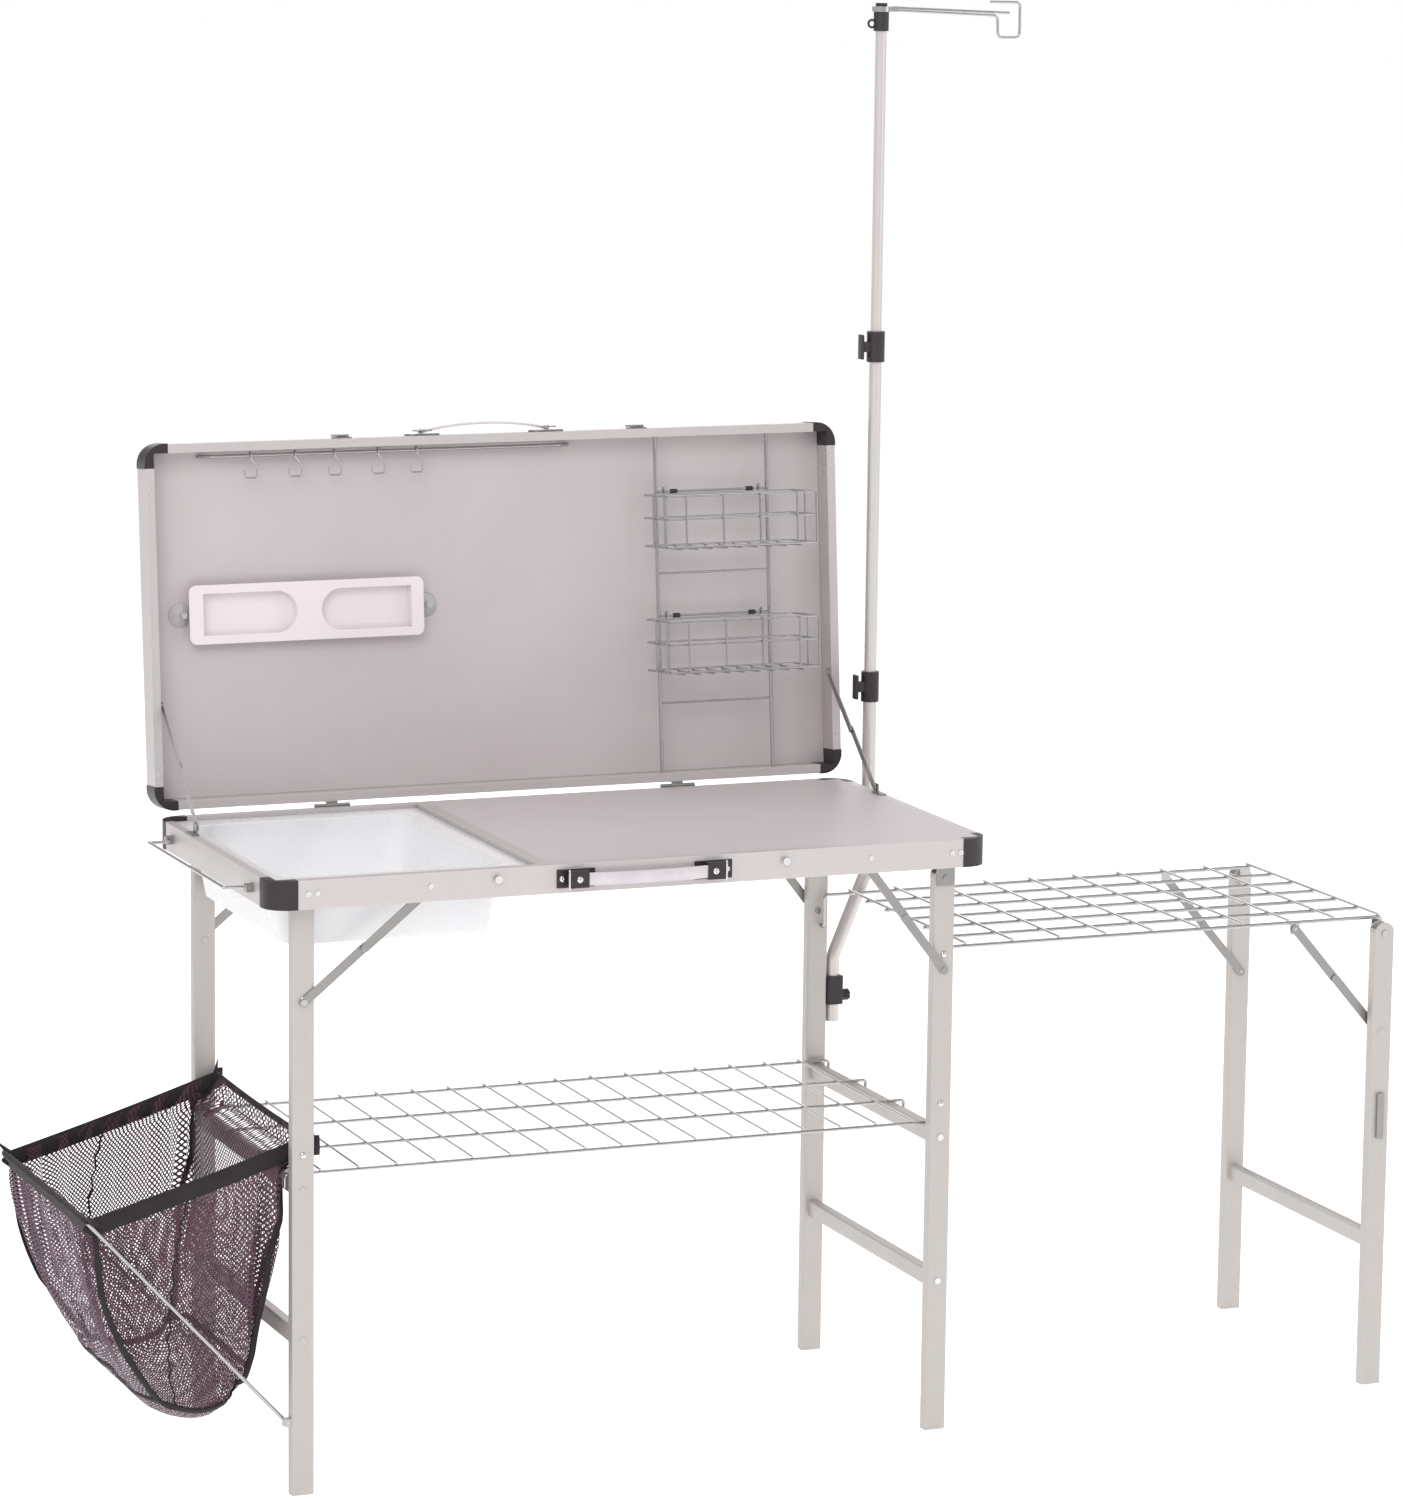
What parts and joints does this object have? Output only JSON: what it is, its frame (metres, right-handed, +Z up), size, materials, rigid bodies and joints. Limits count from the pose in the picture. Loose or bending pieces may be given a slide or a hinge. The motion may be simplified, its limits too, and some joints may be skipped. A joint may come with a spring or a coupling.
{
  "type": "camp kitchen table",
  "caption": "Folding camp kitchen table with lift-out basin, opening lid board, wire shelf, side rack, lantern pole and mesh bag.",
  "frame": {"origin": "floor level under the middle of the whole box, table, rack and bag together", "axes": "+X along the table towards the side rack, +Y towards the lid at the back, +Z up"},
  "size_m": [1.8574, 0.5938, 1.8951],
  "materials": {
    "rail": "satin light grey",
    "worktop": "fine matt laminate",
    "cap": "satin moulded",
    "leg": "satin light grey",
    "basin": "milky translucent",
    "tray": "smooth moulded",
    "clear": "clear soft",
    "wire": "bright zinc",
    "zinc": "dull zinc",
    "strap": "soft webbed",
    "black": "satin moulded",
    "pole": "satin",
    "mesh": "open knit mesh"
  },
  "bodies": {
    "root": {"front_rail": "rail", "back_rail": "rail", "end_rails": "rail", "corner_caps": "cap", "worktop_panel": "worktop", "divider_strip": "rail", "right_legs": "leg", "right_cross_bars": "leg", "right_braces": "zinc", "rail_rivets": "zinc", "right_leg_brackets": "zinc", "hinge_lower_leaves": "zinc", "end_rail_brackets": "zinc", "handle_brackets": "black", "handle_strap": "strap", "pole_clamp": "black"},
    "left_legs": {"left_legs": "leg", "left_cross_bars": "leg", "mesh_bag": "mesh"},
    "left_brace_upper": {"left_brace_upper": "zinc"},
    "left_brace_lower": {"left_brace_lower": "zinc"},
    "shelf": {"shelf": "wire"},
    "bag_frame": {"bag_frame": "wire"},
    "towel_bail": {"towel_bail": "wire"},
    "basin": {"basin": "basin"},
    "lid": {"lid_rails": "rail", "lid_corner_caps": "cap", "lid_panel": "worktop", "hinge_upper_leaves": "zinc", "hanging_rod": "wire", "ladder": "wire", "lid_handle": "strap", "latch_bases": "zinc"},
    "stay_lower": {"stay_lower_links": "zinc"},
    "stay_upper": {"stay_upper_links": "zinc"},
    "basket_upper": {"basket_upper": "wire"},
    "basket_lower": {"basket_lower": "wire"},
    "soap_tray": {"soap_tray": "tray", "suction_cups": "clear"},
    "lid_latches": {"lid_latches": "zinc"},
    "rack": {"rack_grid": "wire"},
    "rack_legs": {"rack_legs": "leg"},
    "rack_brace_upper": {"rack_brace_upper": "zinc"},
    "rack_brace_lower": {"rack_brace_lower": "zinc"},
    "rack_clip": {"rack_clip": "zinc"},
    "pole_lower": {"pole_lower": "pole", "lower_collar": "black"},
    "lower_lever": {"lower_lever": "black"},
    "pole_middle": {"pole_middle": "pole", "upper_collar": "black"},
    "upper_lever": {"upper_lever": "black"},
    "pole_top": {"pole_top": "pole", "pole_cap": "black"},
    "hook_arm": {"hook_arm": "wire"},
    "clamp_knob": {"clamp_knob": "black"},
    "s_hook_1": {"s_hook_1": "wire"},
    "s_hook_2": {"s_hook_2": "wire"},
    "s_hook_3": {"s_hook_3": "wire"},
    "s_hook_4": {"s_hook_4": "wire"},
    "s_hook_5": {"s_hook_5": "wire"}
  },
  "joints": [
    {"name": "left_leg_fold", "type": "hinge", "parent": "root", "child": "left_legs", "pos_m": [-0.64525, -0.03787, 0.788], "axis": [0, -1, 0], "range_deg": [0, 52]},
    {"name": "left_brace_upper_turn", "type": "hinge", "parent": "root", "child": "left_brace_upper", "pos_m": [-0.48225, -0.03787, 0.784], "axis": [0, -1, 0], "range_deg": [-45.75, 0]},
    {"name": "left_brace_lower_turn", "type": "hinge", "parent": "left_legs", "child": "left_brace_lower", "pos_m": [-0.64525, -0.03787, 0.65], "axis": [0, -1, 0], "range_deg": [0, 27.25]},
    {"name": "shelf_level", "type": "hinge", "parent": "left_legs", "child": "shelf", "pos_m": [-0.64525, -0.03787, 0.404], "axis": [0, -1, 0], "range_deg": [-52.01, 0]},
    {"name": "bag_frame_fold", "type": "hinge", "parent": "left_legs", "child": "bag_frame", "pos_m": [-0.66475, -0.03787, 0.097], "axis": [0, 1, 0], "range_deg": [0, 38], "deforming": ["mesh_bag"]},
    {"name": "towel_bail_swing", "type": "hinge", "parent": "root", "child": "towel_bail", "pos_m": [-0.70425, -0.03787, 0.794], "axis": [0, -1, 0], "range_deg": [0, 80]},
    {"name": "basin_lift", "type": "slide", "parent": "root", "child": "basin", "axis": [0, 0, 1], "range_m": [0, 0.15]},
    {"name": "lid_hinge", "type": "hinge", "parent": "root", "child": "lid", "pos_m": [-0.19825, 0.21313, 0.8135], "axis": [-1, 0, 0], "range_deg": [-60, 0]},
    {"name": "stay_lower_turn", "type": "hinge", "parent": "root", "child": "stay_lower", "pos_m": [-0.19825, 0.06813, 0.822], "axis": [1, 0, 0], "range_deg": [0, 97.34]},
    {"name": "stay_upper_turn", "type": "hinge", "parent": "lid", "child": "stay_upper", "pos_m": [-0.19825, 0.23168, 0.95941], "axis": [1, 0, 0], "range_deg": [-95.65, 0]},
    {"name": "s_hook_1_swing", "type": "hinge", "parent": "lid", "child": "s_hook_1", "pos_m": [-0.54725, 0.27212, 1.28707], "axis": [1, 0, 0], "range_deg": [-20, 20]},
    {"name": "s_hook_2_swing", "type": "hinge", "parent": "lid", "child": "s_hook_2", "pos_m": [-0.48425, 0.27212, 1.28707], "axis": [1, 0, 0], "range_deg": [-20, 20]},
    {"name": "s_hook_3_swing", "type": "hinge", "parent": "lid", "child": "s_hook_3", "pos_m": [-0.42825, 0.27212, 1.28707], "axis": [1, 0, 0], "range_deg": [-20, 20]},
    {"name": "s_hook_4_swing", "type": "hinge", "parent": "lid", "child": "s_hook_4", "pos_m": [-0.36625, 0.27212, 1.28707], "axis": [1, 0, 0], "range_deg": [-20, 20]},
    {"name": "s_hook_5_swing", "type": "hinge", "parent": "lid", "child": "s_hook_5", "pos_m": [-0.31125, 0.27212, 1.28707], "axis": [1, 0, 0], "range_deg": [-20, 20]},
    {"name": "basket_upper_lift", "type": "slide", "parent": "lid", "child": "basket_upper", "axis": [0, 0.0924, 0.9957], "range_m": [0, 0.012]},
    {"name": "basket_lower_lift", "type": "slide", "parent": "lid", "child": "basket_lower", "axis": [0, 0.0924, 0.9957], "range_m": [0, 0.012]},
    {"name": "soap_tray_pull", "type": "slide", "parent": "lid", "child": "soap_tray", "axis": [0, -0.9957, 0.0924], "range_m": [0, 0.05]},
    {"name": "lid_latch_swing", "type": "hinge", "parent": "lid", "child": "lid_latches", "pos_m": [-0.19825, 0.26529, 1.31081], "axis": [1, 0, 0], "range_deg": [0, 150]},
    {"name": "rack_swing", "type": "hinge", "parent": "root", "child": "rack", "pos_m": [0.25375, -0.03787, 0.612], "axis": [0, -1, 0], "range_deg": [0, 12]},
    {"name": "rack_leg_fold", "type": "hinge", "parent": "rack", "child": "rack_legs", "pos_m": [0.91375, -0.03787, 0.639], "axis": [0, 1, 0], "range_deg": [0, 64]},
    {"name": "rack_brace_upper_turn", "type": "hinge", "parent": "rack", "child": "rack_brace_upper", "pos_m": [0.78675, -0.03787, 0.649], "axis": [0, 1, 0], "range_deg": [-31.17, 0]},
    {"name": "rack_brace_lower_turn", "type": "hinge", "parent": "rack_legs", "child": "rack_brace_lower", "pos_m": [0.91375, -0.03787, 0.502], "axis": [0, 1, 0], "range_deg": [0, 42.51]},
    {"name": "rack_clip_turn", "type": "hinge", "parent": "rack_legs", "child": "rack_clip", "pos_m": [0.91375, -0.26087, 0.356], "axis": [0, 1, 0], "range_deg": [-90, 90]},
    {"name": "pole_swivel", "type": "hinge", "parent": "root", "child": "pole_lower", "pos_m": [0.27575, 0.17413, 0.473], "axis": [0, 0, 1], "range_deg": [0, 30]},
    {"name": "lower_lever_open", "type": "hinge", "parent": "pole_lower", "child": "lower_lever", "pos_m": [0.30395, 0.17413, 0.961], "axis": [0, 1, 0], "range_deg": [0, 85]},
    {"name": "pole_middle_slide", "type": "slide", "parent": "pole_lower", "child": "pole_middle", "axis": [0, 0, 1], "range_m": [-0.165, 0]},
    {"name": "upper_lever_open", "type": "hinge", "parent": "pole_middle", "child": "upper_lever", "pos_m": [0.30395, 0.17413, 1.436], "axis": [0, 1, 0], "range_deg": [0, 85]},
    {"name": "pole_top_slide", "type": "slide", "parent": "pole_middle", "child": "pole_top", "axis": [0, 0, 1], "range_m": [-0.39, 0]},
    {"name": "hook_arm_swivel", "type": "hinge", "parent": "pole_top", "child": "hook_arm", "pos_m": [0.32575, 0.17413, 1.854], "axis": [0, 0, 1], "continuous": true},
    {"name": "clamp_knob_turn", "type": "hinge", "parent": "root", "child": "clamp_knob", "pos_m": [0.27575, 0.17413, 0.509], "axis": [1, 0, 0], "continuous": true}
  ],
  "couplings": [
    {"joint": "left_brace_upper_turn", "follows": "left_leg_fold", "ratio": -0.87966},
    {"joint": "left_brace_lower_turn", "follows": "left_leg_fold", "ratio": 0.52388},
    {"joint": "shelf_level", "follows": "left_leg_fold", "ratio": -1},
    {"joint": "stay_lower_turn", "follows": "lid_hinge", "ratio": -1.6222},
    {"joint": "stay_upper_turn", "follows": "lid_hinge", "ratio": 1.594},
    {"joint": "rack_brace_upper_turn", "follows": "rack_leg_fold", "ratio": -0.48688},
    {"joint": "rack_brace_lower_turn", "follows": "rack_leg_fold", "ratio": 0.66398}
  ]
}
